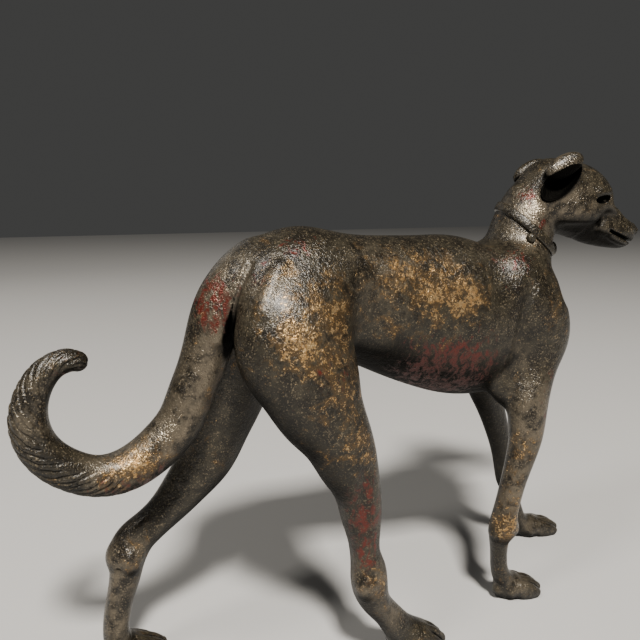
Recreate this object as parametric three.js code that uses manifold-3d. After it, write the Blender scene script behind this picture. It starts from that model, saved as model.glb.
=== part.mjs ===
// A cast hound, striding, with a curled tail and a bell collar. Millimetres, +Z up, head towards +X.
import * as THREE from 'three';
import { mergeVertices } from 'three/addons/utils/BufferGeometryUtils.js';
import Module from 'manifold-3d';

const wasm = await Module();
wasm.setup();

// Driving sizes
const height = 244; // ear tips above the soles
const soleCut = 0.8; // how much of each paw is ground off flat
const collarWidth = 4.4;
const collarProud = 1.3; // how far the collar stands off the neck
const studRadius = 2.5;
const bellRadius = 2.4;
const tailStrokes = 26; // chased strokes along the outer edge of the tail
const strokeDepth = 0.9;
const strokesFrom = 0.45; // the share of the tail's length where the strokes start
const strokesTo = 0.97;
const strokeLean = 0.35; // how far a stroke leans from one side of the tail to the other
const eyeSlit = { length: 9, rise: 3.2, depth: 4.5 };
const mouthSlit = { length: 24, rise: 1.5 };

// Stations are drawn for a hound 244 high and follow its height. The named sizes above keep their own.
const unit = height / 244;
const own = (size) => size / unit;
const lateral = new THREE.Vector3(0, 1, 0);

// Each station is x, y, z of the middle line, then half the width, and the reach over and under it.
// Over is the back of the trunk, neck and head, and the front of a leg.
const trunk = [
  [83, 0, 171, 8, 9, 8],
  [89, 0, 173, 17, 18, 20],
  [97, 0, 175, 23, 25, 29],
  [108, 0, 176.5, 27, 29.8, 35],
  [122, 0, 177, 28.5, 32, 36],
  [140, 0, 176, 27, 29.5, 33],
  [160, 0, 172, 25.5, 32.5, 33],
  [180, 0, 167, 26.5, 37, 36],
  [200, 0, 163, 28.5, 40, 40],
  [220, 0, 160, 29, 38.5, 41.5],
  [238, 0, 159, 28, 36, 39],
  [252, 0, 158, 25.5, 32, 33],
  [264, 0, 157, 21, 25, 25],
  [273, 0, 156, 14, 16, 16],
  [278, 0, 155.5, 5, 6, 6],
];
const neck = [
  [248, 0, 150, 20, 27, 22],
  [249, 0, 172, 19.5, 27, 21],
  [251, 0, 187, 18.5, 22, 19.5],
  [252.5, 0, 200, 17.5, 17.5, 18.5],
  [256, 0, 211, 16.5, 16, 16.5],
  [261, 0, 221, 15.5, 13, 13],
  [266, 0, 230, 11, 8, 10],
];
// The head is laid out from the top of the neck, which it turns about.
const head = [
  [-8.5, 0, 225, 6, 6, 9],
  [-3.5, 0, 224, 13, 12.5, 15],
  [6.5, 0, 223.5, 16, 17.8, 19],
  [19, 0, 222.5, 17, 18.7, 20.5],
  [30, 0, 220.5, 15.5, 18.2, 21],
  [37, 0, 217.8, 13.2, 15.2, 21],
  [43, 0, 213.5, 10.8, 10.8, 19.5],
  [50, 0, 208.5, 8.8, 8, 15.8],
  [57, 0, 204.8, 7.6, 6.3, 12],
  [62.5, 0, 203.5, 6, 4.8, 8.6],
  [66, 0, 203.8, 2.8, 2.3, 3.6],
];
const headPivot = [256, 0, 0];
const headTurn = -0.26; // the face is turned to the right
const rightFore = [
  [243, -13, 184, 8, 9, 11],
  [251.5, -18, 166, 11.5, 11.5, 14],
  [254.4, -20, 150, 12, 12, 14],
  [250, -21, 136, 11, 9.5, 12],
  [244.8, -23, 124, 10, 9.5, 11],
  [241.4, -24.5, 112, 9.2, 10.3, 10.8],
  [240.7, -25, 100, 8.5, 9, 9.2],
  [239.4, -24, 88, 7.6, 7.5, 7.7],
  [236.4, -23, 75, 6.7, 6.5, 6.6],
  [234, -22, 62, 6.4, 6.2, 6.3],
  [232.6, -21.5, 53, 7, 6.6, 6.7],
  [232.2, -21, 46.5, 7.4, 7.2, 7.4],
  [231.4, -20, 41, 6.2, 5.4, 5.8],
  [232, -19, 34, 5, 4.4, 4.6],
  [233.4, -18, 25, 4.8, 4.3, 4.4],
  [236.3, -17, 16, 5.2, 5, 4.8],
  [242, -16, 8.5, 6.5, 6, 6],
];
const leftFore = [
  [243, 13, 184, 8, 9, 11],
  [252.5, 18, 166, 11.5, 11.5, 14],
  [256, 20, 150, 12, 12, 14],
  [254, 22, 136, 11, 11, 12],
  [252, 24, 120, 10.3, 10.3, 11],
  [257, 25, 102, 8.8, 9.2, 9.2],
  [264, 25, 83, 7.5, 7.7, 7.7],
  [270.5, 25.5, 64, 6.6, 6.6, 6.6],
  [274.5, 26, 52, 6.8, 6.8, 6.8],
  [277.5, 26.5, 44.5, 7, 7, 7],
  [282, 27, 35, 5.2, 4.9, 4.9],
  [288.5, 28, 22, 4.9, 4.6, 4.6],
  [294, 29, 13, 5.4, 5.2, 5.2],
  [301, 29, 8, 6, 6, 6],
];
const rightHind = [
  [108, -10, 190, 11, 22, 18],
  [109, -18, 174, 16.5, 27, 25],
  [111, -22, 157, 18, 26.5, 27],
  [114.7, -25, 144, 17, 23, 23],
  [119.6, -27, 131, 15.5, 19.5, 19.5],
  [125.8, -29, 119, 13.5, 16, 16],
  [131.1, -30, 106, 11.5, 13.8, 13.8],
  [135.5, -30, 94, 10.2, 11, 11],
  [138, -30, 81, 9, 9.6, 9.6],
  [139.3, -30, 71, 7.6, 7.9, 7.9],
  [140.4, -30, 61, 7.2, 7, 7],
  [142.3, -30, 52, 7.8, 8.3, 8.6],
  [143.6, -30, 43.5, 8, 8.2, 8.8],
  [147.1, -30, 34, 7, 6.8, 7.2],
  [153.4, -30, 25, 6.4, 6.8, 6.4],
  [160.5, -30, 16, 7, 7.5, 7.5],
  [168, -30, 10, 7.5, 7, 8],
];
const leftHind = [
  [104, 10, 190, 11, 22, 18],
  [104, 18, 174, 16.5, 27, 25],
  [101, 22, 157, 18, 26, 26],
  [97, 24, 140, 17, 22.5, 23],
  [92, 24.5, 122, 15, 18.5, 19],
  [88.5, 24.5, 111, 13, 16, 16.5],
  [83, 24, 98, 11.5, 13.5, 14],
  [75.2, 24, 88, 10, 11.2, 12],
  [67, 24, 79.5, 9, 9.2, 10],
  [59.5, 24, 73.5, 8.1, 8.6, 8.4],
  [52.5, 24, 68.5, 7.8, 8.8, 8.4],
  [47.3, 24, 64, 7.9, 9.2, 9.3],
  [44.6, 24, 58.5, 7.9, 8.8, 10.2],
  [43.2, 24, 52, 7.5, 7.8, 8.6],
  [41.6, 24, 45, 6.8, 7, 7],
  [39.6, 24.5, 37, 6.4, 6.3, 6.3],
  [37.6, 25, 28, 6.3, 6.1, 6.1],
  [36.6, 25, 20, 6.4, 6, 6],
  [38, 25, 12, 7, 6.4, 6.4],
  [43, 25, 7, 8, 6, 6],
];
const tail = [
  [101, 0, 191, 9, 10, 12],
  [90, 0, 184, 11, 11, 11],
  [82.5, 0, 172.5, 10.8, 10.6, 10.6],
  [78.5, 0, 160, 10.3, 10.3, 10.3],
  [74.6, 0, 148.5, 10, 10, 10],
  [69.8, 0, 137.5, 9.8, 9.8, 9.8],
  [65, 0, 127, 9.8, 9.8, 9.8],
  [58, 0, 119, 9.8, 9.8, 9.8],
  [50, 0, 113, 9.5, 9.5, 9.5],
  [41, 0, 109, 9.1, 9.1, 9.1],
  [30, 0, 108.6, 8.5, 8.5, 8.5],
  [20, 0, 113, 8.3, 8.3, 8.3],
  [12, 0, 120, 8.1, 8.1, 8.1],
  [7.5, 0, 128, 7.8, 7.8, 7.8],
  [6.2, 0, 138.4, 7.3, 7.3, 7.3],
  [8.6, 0, 147.3, 6.5, 6.5, 6.5],
  [13, 0, 154, 5.8, 5.8, 5.8],
  [18.3, 0, 157.6, 5.1, 5.1, 5.1],
  [24, 0, 158.2, 4.6, 4.6, 4.6],
  [28, 0, 157.2, 3.2, 3.2, 3.2],
];
// A paw is laid out from its heel, with the toes reaching forward.
const palm = [
  [-6.5, 0, 6.8, 3.2, 3, 4],
  [-2.5, 0, 7, 5.4, 6, 7.5],
  [3, 0, 7, 7, 6.5, 8],
  [8, 0, 5.5, 7.2, 5, 6.5],
  [12, 0, 4, 5.5, 3, 4.5],
];
const toe = [
  [-2, 0, 7, 2.4, 3, 4],
  [3, 0, 8.4, 2.9, 3.4, 6],
  [8, 0, 7.2, 3.1, 3.4, 7],
  [12.5, 0, 5, 3, 3.2, 5.6],
  [15.5, 0, 3.9, 1.8, 1.9, 2.9],
];
const toes = [
  { x: 0.5, y: -5.4, turn: -0.1 },
  { x: 4, y: -1.8, turn: -0.03 },
  { x: 4, y: 1.9, turn: 0.03 },
  { x: 0.5, y: 5.4, turn: 0.1 },
];
// Longer and higher are shares of the paw as it is laid out.
const paws = [
  { x: 242.5, y: -16.5, turn: -0.1, longer: 1, higher: 1 },
  { x: 302, y: 29.5, turn: -0.08, longer: 1.12, higher: 1 },
  { x: 164, y: -30, turn: -0.05, longer: 1.06, higher: 1.3 },
  { x: 39, y: 25, turn: 0.02, longer: 1.06, higher: 1.15 },
];

// A closed skin of rings carried along a smooth line through the stations. Carve, where it is given,
// says how far the skin is pressed in at each share of the way along and each angle around.
function loft(stations, { sides = 12, rings = Math.round((stations.length - 1) * 1.6), carve = null } = {}) {
  const line = new THREE.CatmullRomCurve3(stations.map(([x, y, z]) => new THREE.Vector3(x, y, z)));
  const girth = new THREE.CatmullRomCurve3(stations.map(([, , , w, o, u]) => new THREE.Vector3(w, o, u)));
  const positions = [];
  const faces = [];
  for (let i = 0; i <= rings; i++) {
    const share = i / rings;
    const middle = line.getPoint(share);
    const along = line.getTangent(share);
    const across = lateral.clone().addScaledVector(along, -lateral.dot(along)).normalize();
    const over = along.clone().cross(across);
    const size = girth.getPoint(share);
    for (let j = 0; j < sides; j++) {
      const angle = (2 * Math.PI * j) / sides;
      const pressed = carve ? carve(share, angle) : 0;
      const rise = Math.sin(angle);
      const reach = rise > 0 ? size.y : size.z;
      const point = middle.clone()
        .addScaledVector(across, (size.x - pressed) * Math.cos(angle))
        .addScaledVector(over, (reach - pressed) * rise);
      positions.push(...point.toArray());
    }
  }
  const ends = positions.length / 3;
  positions.push(...line.getPoint(0).toArray(), ...line.getPoint(1).toArray());
  for (let j = 0; j < sides; j++) {
    const next = (j + 1) % sides;
    for (let i = 0; i < rings; i++) {
      const a = i * sides;
      const b = a + sides;
      faces.push(a + j, a + next, b + j, a + next, b + next, b + j);
    }
    const last = rings * sides;
    faces.push(ends, next, j, ends + 1, last + j, last + next);
  }
  const geometry = new THREE.BufferGeometry();
  geometry.setAttribute('position', new THREE.Float32BufferAttribute(positions, 3));
  geometry.setIndex(faces);
  return geometry.scale(unit, unit, unit);
}

function solid(geometry) {
  const bare = geometry.clone();
  bare.deleteAttribute('normal');
  bare.deleteAttribute('uv');
  const merged = mergeVertices(bare, 1e-4);
  return new wasm.Manifold(new wasm.Mesh({
    numProp: 3,
    vertProperties: merged.attributes.position.array,
    triVerts: new Uint32Array(merged.index.array),
  }));
}

const join = (parts) => parts.reduce((whole, part) => whole.add(part));

// An egg with its long axis along one direction and its third axis along another.
function egg(middle, axes, [longest, second], detail = [12, 8]) {
  const x = new THREE.Vector3(...longest).normalize();
  const z = new THREE.Vector3(...second).addScaledVector(x, -x.dot(new THREE.Vector3(...second))).normalize();
  const y = z.clone().cross(x);
  const placed = new THREE.Matrix4().makeBasis(x, y, z).setPosition(...middle);
  const geometry = new THREE.SphereGeometry(1, ...detail).scale(...axes).applyMatrix4(placed);
  return solid(geometry.scale(unit, unit, unit));
}

function block(middle, size, tilt = 0) {
  const geometry = new THREE.BoxGeometry(...size).rotateY(tilt).translate(...middle);
  return solid(geometry.scale(unit, unit, unit));
}

// An ear is a cup on the side of the head, hollowed out, with a folded flap that hangs over its top.
const earFaces = (side) => [-0.53, 0.845 * side, -0.03];
const cupLongest = (side) => [0.74, -0.11 * side, 0.66];

function earCup(side) {
  return egg([11.6, 14.4 * side, 230], [13.8, 6.4, 6.5], [cupLongest(side), earFaces(side)], [10, 7]);
}

function earHollow(side) {
  return egg([8.7, 17.6 * side, 228.9], [13.4, 5.8, 6], [cupLongest(side), earFaces(side)], [10, 7]);
}

function earFlap(side) {
  return egg([10.6, 16.3 * side, 237.9], [10.8, 4.7, 4.2], [[0.9, 0, 0.45], earFaces(side)], [10, 7]);
}

// Brows stand over slits that are cut level into the sides of the head.
function brow(side) {
  return egg([37.5, 10.6 * side, 224.2], [8, 4.4, 3.6], [[0.86, -0.5 * side, 0.12], [0, 0, 1]], [8, 6]);
}

function eye(side) {
  const halves = [eyeSlit.length / 2, eyeSlit.depth, eyeSlit.rise / 2].map(own);
  return egg([38.4, 13.6 * side, 220.4], halves, [[0.85, -0.51 * side, 0.12], [0, 0, 1]], [8, 6]);
}

// Moves what was laid out from the top of the neck to its place and turns it with the face.
function turned(part) {
  const [x, y, z] = headPivot.map((value) => value * unit);
  return part.rotate([0, 0, THREE.MathUtils.radToDeg(headTurn)]).translate([x, y, z]);
}

function paw({ x, y, turn, longer, higher }) {
  const around = (geometry) => solid(geometry
    .scale(longer, 1, higher)
    .rotateZ(turn)
    .translate(x * unit, y * unit, -soleCut));
  const digits = toes.map((digit) => around(loft(toe, { sides: 6, rings: 4 })
    .rotateZ(digit.turn)
    .translate(digit.x * unit, digit.y * unit, 0)));
  return join([around(loft(palm, { sides: 10, rings: 5 })), ...digits]);
}

// The strokes lean across the outer edge of the curl, and each is deepest where it ends.
function tailCarve(share, angle) {
  if (share < strokesFrom || share > strokesTo) return 0;
  const passed = (share - strokesFrom) / (strokesTo - strokesFrom);
  const way = passed * tailStrokes + strokeLean * Math.cos(angle);
  return own(strokeDepth) * Math.max(0, Math.sin(angle)) * (way - Math.floor(way));
}

// The collar is cut from a neck that is wider all round, between two planes that lean forward and to
// the right.
const wideNeck = neck.map(([x, y, z, ...girth]) => [x, y, z, ...girth.map((reach) => reach + own(collarProud))]);
const band = new THREE.BoxGeometry(80, 80, own(collarWidth))
  .rotateX(0.297)
  .rotateY(0.634)
  .translate(256, 0, 204.5);
const collarBand = solid(loft(wideNeck, { sides: 16 })).intersect(solid(band.scale(unit, unit, unit)));
const studHalves = [own(studRadius) + 0.4, own(studRadius), own(studRadius)];
const stud = egg([244.8, -16.3, 201], studHalves, [[-0.62, -0.76, -0.2], [0, 0, 1]], [8, 6]);
const bellHalves = [own(bellRadius), own(bellRadius), own(bellRadius) * 1.6];
const bell = egg([272.6, -4.5, 193.2], bellHalves, [[1, 0, 0], [0, 0, 1]], [8, 6]);

const limbs = [
  loft(rightFore, { sides: 10 }),
  loft(leftFore, { sides: 10 }),
  loft(rightHind, { sides: 13 }),
  loft(leftHind, { sides: 12 }),
];
const forms = [
  loft(trunk, { sides: 18 }),
  loft(neck, { sides: 16 }),
  ...limbs,
  loft(tail, { sides: 9, rings: 75, carve: tailCarve }),
];
const face = join([solid(loft(head, { sides: 16 })), brow(-1), brow(1), earCup(-1), earCup(1)]);
const hollows = join([earHollow(-1), earHollow(1), eye(-1), eye(1)]);
const mouth = block([55.3, 0, 199.85], [own(mouthSlit.length), 40, own(mouthSlit.rise)], 0.35);
const floor = block([150, 0, -50], [1000, 1000, 100]);
const body = join([
  ...forms.map(solid),
  ...paws.map(paw),
  turned(face.subtract(hollows.add(mouth)).add(earFlap(-1)).add(earFlap(1))),
  collarBand, stud, bell,
]).subtract(floor);

function toGeometry(manifold) {
  const mesh = manifold.getMesh();
  const geometry = new THREE.BufferGeometry();
  geometry.setAttribute('position', new THREE.BufferAttribute(mesh.vertProperties, 3));
  geometry.setIndex(new THREE.BufferAttribute(mesh.triVerts, 1));
  return geometry;
}

const bronze = new THREE.MeshStandardMaterial({ color: 0x4a4033, roughness: 0.42, metalness: 0.8 });
// The origin is under the middle of the figure's own box, on the floor it stands on.
const box = body.boundingBox();
const centred = body.translate([-(box.min[0] + box.max[0]) / 2, -(box.min[1] + box.max[1]) / 2, -box.min[2]]);
const hound = new THREE.Mesh(toGeometry(centred), bronze);
hound.name = 'hound';
const figure = new THREE.Group();
figure.add(hound);
export default figure;
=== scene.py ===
# A striding hound cast in dark lacquered bronze, with a curled tail and a bell collar.
import math

import bpy
import numpy as np
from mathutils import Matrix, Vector


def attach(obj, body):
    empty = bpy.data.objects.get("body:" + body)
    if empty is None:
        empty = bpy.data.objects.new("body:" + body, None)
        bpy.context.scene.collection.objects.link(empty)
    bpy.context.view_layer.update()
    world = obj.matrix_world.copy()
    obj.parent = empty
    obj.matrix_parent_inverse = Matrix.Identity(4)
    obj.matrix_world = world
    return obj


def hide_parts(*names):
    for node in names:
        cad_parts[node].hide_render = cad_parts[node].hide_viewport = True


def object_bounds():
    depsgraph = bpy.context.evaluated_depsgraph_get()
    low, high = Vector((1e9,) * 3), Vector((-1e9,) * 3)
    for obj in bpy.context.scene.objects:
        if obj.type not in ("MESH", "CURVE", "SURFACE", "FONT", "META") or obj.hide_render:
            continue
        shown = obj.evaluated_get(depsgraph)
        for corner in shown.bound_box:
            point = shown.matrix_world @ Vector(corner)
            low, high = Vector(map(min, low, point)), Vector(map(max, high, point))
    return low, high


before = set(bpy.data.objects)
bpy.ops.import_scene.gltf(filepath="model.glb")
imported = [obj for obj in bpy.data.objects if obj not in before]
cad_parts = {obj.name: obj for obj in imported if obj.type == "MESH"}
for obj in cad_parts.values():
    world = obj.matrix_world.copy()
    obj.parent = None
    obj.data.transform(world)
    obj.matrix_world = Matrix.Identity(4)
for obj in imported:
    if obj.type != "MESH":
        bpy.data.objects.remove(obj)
cadLow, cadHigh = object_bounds()
print("frame loaded, box", [round(v, 4) for v in (*cadLow, *cadHigh)])

view = {
    "place": (-0.1619, -0.2614, 0.2200),  # where the lens stands
    "tip": 79.4,  # degrees up from looking straight down
    "turn": -26.8,
    "lens": 36.11,
}
camera = bpy.data.objects.new("camera", bpy.data.cameras.new("camera"))
camera.location = view["place"]
camera.rotation_euler = (math.radians(view["tip"]), 0, math.radians(view["turn"]))
camera.data.sensor_width = 36
camera.data.lens = view["lens"]
camera.data.clip_start = 0.01
bpy.context.scene.collection.objects.link(camera)
bpy.context.scene.camera = camera
print("camera stands")

# The figure is drawn in millimetres, and this box of the drawing lies on the box of the frame.
drawing = {"low": (-0.811, -42.055, 0.0), "height": 244.220}
drawnLow = np.array(drawing["low"])
metresPerDrawn = (cadHigh.z - cadLow.z) / drawing["height"]


# Real place = low corner of the frame + (drawn place - low corner of the drawing) x scale.
def placed(points):
    return (points - drawnLow) * metresPerDrawn + np.array(cadLow)


# Each station is x, y, z of a middle line, half the width, then the reach over it and under it.
# Over is the back of trunk, neck and head, and the front of a leg.
bodyForm = {
    "trunk": [
        (83, 0, 171, 7, 8, 8), (89, 0, 173, 15, 16.5, 19), (97, 0, 175, 20.5, 24, 28),
        (108, 0, 176.5, 24.5, 29, 34), (122, 0, 177, 27, 31.6, 34), (140, 0, 176, 26.5, 29.3, 30),
        (160, 0, 172, 25.5, 32.3, 31.8), (180, 0, 167, 26.5, 37, 36), (200, 0, 163, 28.5, 40, 40),
        (220, 0, 160, 29, 38.5, 41.5), (238, 0, 159, 28, 35.5, 39), (252, 0, 158, 25.5, 30, 33),
        (264, 0, 157, 20.5, 22, 25), (273.8, 0, 156, 14, 14, 16), (279, 0, 155.5, 5, 6, 6),
    ],
    "neck": [
        (248, 0, 150, 20, 26, 18), (249, 0, 172, 19, 26, 17.3), (251, 0, 187, 18, 21.5, 17.8),
        (252.5, 0, 200, 17, 17, 17.8), (256, 0, 211, 16.2, 15.2, 16), (261, 0, 221, 15.2, 12.6, 12.5),
        (266, 0, 230, 11, 8, 10),
    ],
    "rightFore": [
        (243, -13, 184, 8, 9, 11), (251.5, -18, 166, 11.5, 11.5, 14), (254.4, -20, 150, 12, 12, 14),
        (250, -21, 136, 11, 9.5, 12), (244.8, -23, 124, 10, 9.5, 11), (241.4, -24.5, 112, 9.2, 10.3, 10.8),
        (240.7, -25, 100, 8.5, 9, 9.2), (239.4, -24, 88, 7.6, 7.5, 7.7), (236.4, -23, 75, 6.7, 6.5, 6.6),
        (234, -22, 62, 6.4, 6.2, 6.3), (232.6, -21.5, 53, 7, 6.6, 6.7), (232.2, -21, 46.5, 7.4, 7.2, 7.4),
        (231.4, -20, 41, 6.2, 5.4, 5.8), (232, -19, 34, 5, 4.4, 4.6), (233.4, -18, 25, 4.8, 4.3, 4.4),
        (236.3, -17, 16, 5.2, 5, 4.8), (242, -16, 8.5, 6.5, 6, 6),
    ],
    "leftFore": [
        (243, 13, 184, 8, 9, 11), (252.5, 18, 166, 11.5, 11.5, 14), (256, 20, 150, 12, 12, 14),
        (254, 22, 136, 11, 11, 12), (252, 24, 120, 10.3, 10.3, 11), (258.5, 25, 102, 8.4, 8.8, 8.8),
        (266.5, 25, 83, 7, 7.3, 7.3), (273, 25.5, 64, 6.3, 6.3, 6.3), (276.5, 26, 52, 6.5, 6.5, 6.5),
        (279.5, 26.5, 44.5, 6.7, 6.7, 6.7), (283.5, 27, 35, 5, 4.7, 4.7), (289, 28, 22, 4.8, 4.5, 4.5),
        (294, 29, 13, 5.4, 5.2, 5.2), (301, 29, 8, 6, 6, 6),
    ],
    "rightHind": [
        (108, -10, 188, 11, 22, 15), (109, -18, 174, 16, 27, 23.5), (111, -22, 157, 18, 26, 26.5),
        (114.7, -25, 144, 17, 23, 23), (119.6, -27, 131, 15.5, 19.5, 19.5), (125.8, -29, 119, 13.5, 16, 16),
        (131.1, -30, 106, 11.5, 13.8, 13.8), (135.5, -30, 94, 10.2, 11, 11), (138, -30, 81, 9, 9.6, 9.6),
        (139.3, -30, 71, 7.6, 7.9, 7.9), (140.4, -30, 61, 7.2, 7, 7), (142.3, -30, 52, 7.8, 8.3, 8.6),
        (143.6, -30, 43.5, 8, 8.2, 8.8), (147.1, -30, 34, 7, 6.8, 7.2), (153.4, -30, 25, 6.4, 6.8, 6.4),
        (160.5, -30, 16, 7, 7.5, 7.5), (168, -30, 10, 7.5, 7, 8),
    ],
    "leftHind": [
        (105, 8, 181, 9, 18, 11), (104, 16, 171, 15, 25, 18.5), (101, 21, 157, 17.5, 26, 23.5),
        (97, 24, 140, 17, 22.5, 23), (92, 24.5, 122, 15, 18.5, 19), (88.5, 24.5, 111, 13, 16, 16.5),
        (83, 24, 98, 11.5, 13.5, 14), (75.2, 24, 88, 10, 11.2, 12), (67, 24, 79.5, 9, 9.2, 10),
        (59.5, 24, 73.5, 8, 8.6, 8.2), (52.5, 24, 68.5, 7.6, 8.8, 8), (47.3, 24, 64, 7.6, 9.2, 9),
        (44.6, 24, 58.5, 7.6, 8.8, 9.6), (43.2, 24, 52, 7.2, 7.6, 8.2), (41.6, 24, 45, 6.8, 7, 7),
        (39.6, 24.5, 37, 6.4, 6.3, 6.3), (37.6, 25, 28, 6.3, 6.1, 6.1), (36.6, 25, 20, 6.4, 6, 6),
        (38, 25, 12, 7, 6.4, 6.4), (43, 25, 7, 8, 6, 6),
    ],
}
tailForm = {
    "line": [
        (101, 0, 191, 9, 10, 12), (90, 0, 184, 11, 11, 11), (82.5, 0, 172.5, 10.8, 10.6, 10.6),
        (78.5, 0, 160, 10.3, 10.3, 10.3), (74.6, 0, 148.5, 10, 10, 10), (69.8, 0, 137.5, 9.8, 9.8, 9.8),
        (65, 0, 127, 9.8, 9.8, 9.8), (58, 0, 119, 9.8, 9.8, 9.8), (50, 0, 113, 9.5, 9.5, 9.5),
        (41, 0, 109, 9.1, 9.1, 9.1), (30, 0, 108.6, 8.5, 8.5, 8.5), (20, 0, 113, 8.3, 8.3, 8.3),
        (12, 0, 120, 8.1, 8.1, 8.1), (7.5, 0, 128, 7.8, 7.8, 7.8), (6.2, 0, 138.4, 7.3, 7.3, 7.3),
        (8.6, 0, 147.3, 6.5, 6.5, 6.5), (13, 0, 154, 5.8, 5.8, 5.8), (18.3, 0, 157.6, 5.1, 5.1, 5.1),
        (23.2, 0, 158.2, 4.6, 4.6, 4.6), (25.4, 0, 157.6, 4.1, 4.1, 4.1),
    ],
    "strokesFrom": 104,  # mm along the tail to the first chased stroke
    "strokesTo": 222,
    "spacing": 4.1,
    "depth": 0.62,
    "width": 0.16,  # a share of the spacing
    "lean": 1.0,  # how far a stroke falls back for each millimetre around the tail
}
pawForm = {
    "palm": [
        (-6.5, 0, 6.8, 3.2, 3, 4), (-2.5, 0, 7, 5.4, 6, 7.5), (3, 0, 7, 7, 6.5, 8),
        (8, 0, 5.5, 7.2, 5, 6.5), (12, 0, 4, 5.5, 3, 4.5),
    ],
    "toe": [
        (-2, 0, 7, 2.4, 3, 4), (3, 0, 8.4, 2.8, 3.4, 6), (8, 0, 7.2, 2.9, 3.4, 7),
        (12, 0, 5, 2.8, 3.1, 5.5), (14.2, 0, 3.9, 2.4, 2.5, 3.6),
    ],
    "toes": [(0.5, -5.4, -0.1), (4, -1.8, -0.03), (4, 1.9, 0.03), (0.5, 5.4, 0.1)],  # x, y, turn
    "paws": [  # x, y, turn, length and height as shares
        (242.5, -16.5, -0.1, 1.0, 1.0), (302, 29.5, -0.08, 1.12, 1.0),
        (164, -30, -0.05, 1.06, 1.3), (39, 25, 0.02, 1.06, 1.15),
    ],
    "sunk": 0.8,  # how much of each paw is ground off flat
    "betweenToes": 0.5,
    "toeBlend": 1.6,
    "legBlend": 4,
}


# Blend of two distances: the smaller, less a quarter of the blend where both are equal.
def join(first, second, blend):
    near = np.maximum(blend - np.abs(first - second), 0) / blend
    return np.minimum(first, second) - near * near * blend / 4


def carve(first, second, blend):
    return -join(-first, second, blend)


# Natural cubic through the stations, with the distance between them as its parameter.
# Solves for the second derivatives, then gives value and two derivatives at any distance along.
def smoothLine(stations):
    values = np.array(stations, float)
    steps = np.linalg.norm(np.diff(values[:, :3], axis=0), axis=1)
    knots = np.concatenate(([0], np.cumsum(steps)))
    count = len(values)
    matrix = np.eye(count)
    right = np.zeros_like(values)
    slopes = np.diff(values, axis=0) / steps[:, None]
    for i in range(1, count - 1):
        matrix[i, i - 1:i + 2] = steps[i - 1], 2 * (steps[i - 1] + steps[i]), steps[i]
        right[i] = 6 * (slopes[i] - slopes[i - 1])
    bend = np.linalg.solve(matrix, right)
    linear = slopes - steps[:, None] * (2 * bend[:-1] + bend[1:]) / 6
    cubic = (bend[1:] - bend[:-1]) / (6 * steps[:, None])
    parts = np.stack((values[:-1], linear, bend[:-1] / 2, cubic), axis=1)
    samples = np.linspace(0, knots[-1], max(int(knots[-1] / 4), 6))
    line = {"knots": knots, "parts": parts, "samples": samples}
    line["sampled"] = valueAt(line, samples)[0]
    return line


def valueAt(line, along, channels=6):
    piece = np.clip(np.searchsorted(line["knots"], along, side="right") - 1, 0, len(line["parts"]) - 1)
    step = (along - line["knots"][piece])[:, None]
    start, linear, square, cubic = (line["parts"][piece, i, :channels].astype(along.dtype) for i in range(4))
    value = start + step * (linear + step * (square + step * cubic))
    slope = linear + step * (2 * square + 3 * step * cubic)
    bend = 2 * square + 6 * step * cubic
    return value, slope, bend


# Parameter of the nearest place on a line: the nearest sample, then three Newton steps.
def nearestOn(line, points):
    spots = line["sampled"][:, :3].astype(points.dtype)
    lengths = (spots ** 2).sum(axis=1)
    along = np.empty(len(points), points.dtype)
    for start in range(0, len(points), 200000):
        part = points[start:start + 200000]
        along[start:start + 200000] = line["samples"][np.argmin(lengths - 2 * part @ spots.T, axis=1)]
    for _ in range(3):
        value, slope, bend = valueAt(line, along, 3)
        away = points - value
        speed = (slope * slope).sum(axis=1)
        change = (away * slope).sum(axis=1) / np.maximum(speed - (away * bend).sum(axis=1), 0.3 * speed)
        along = np.clip(along + change, 0, line["knots"][-1]).astype(points.dtype)
    return along


# Distance from an egg of three half sizes: k0 (k0 - 1) / k1, where k0 is the length of the
# offset over the sizes and k1 the length of the offset over the squares of the sizes.
def eggDistance(offsets, sizes):
    share = offsets / sizes
    reach = np.sqrt((share ** 2).sum(axis=1)) + 1e-6
    return reach * (reach - 1) / (np.sqrt(((share / sizes) ** 2).sum(axis=1)) + 1e-9)


# A limb is an oval profile carried along a smooth line, its ends rounded.
# The oval stands square to the line, with its width level.
def limb(stations, relief=None):
    line = smoothLine(stations)
    spread = line["sampled"][:, 3:].max(axis=1)[:, None]
    low = (line["sampled"][:, :3] - spread).min(axis=0)
    high = (line["sampled"][:, :3] + spread).max(axis=0)

    def distance(points):
        along = nearestOn(line, points)
        value, slope, _ = valueAt(line, along)
        tangent = slope[:, :3] / np.linalg.norm(slope[:, :3], axis=1)[:, None]
        across = -tangent * tangent[:, 1:2]
        across[:, 1] += 1
        across /= np.linalg.norm(across, axis=1)[:, None]
        over = np.cross(tangent, across)
        away = points - value[:, :3]
        side, rise, past = ((away * way).sum(axis=1) for way in (across, over, tangent))
        reach = np.where(rise > 0, value[:, 4], value[:, 5])
        sizes = np.stack((value[:, 3], reach, np.minimum(value[:, 3], reach)), axis=1)
        gap = eggDistance(np.stack((side, rise, past), axis=1), sizes)
        if relief:
            gap = gap + relief(along, np.arctan2(rise, side))
        return gap

    return {"low": low, "high": high, "distance": distance}


# An egg lies with its longest axis along one direction and its third towards another.
def egg(middle, sizes, longest=(1, 0, 0), third=(0, 0, 1)):
    first = np.array(longest, float) / np.linalg.norm(longest)
    last = np.array(third, float) - first * np.dot(third, first)
    last /= np.linalg.norm(last)
    axes = np.stack((first, np.cross(last, first), last), axis=1)
    reach = max(sizes)

    def distance(points):
        away = points - np.array(middle, points.dtype)
        return eggDistance(away @ axes.astype(points.dtype), np.array(sizes, points.dtype))

    return {"low": np.array(middle) - reach, "high": np.array(middle) + reach, "distance": distance}


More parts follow.
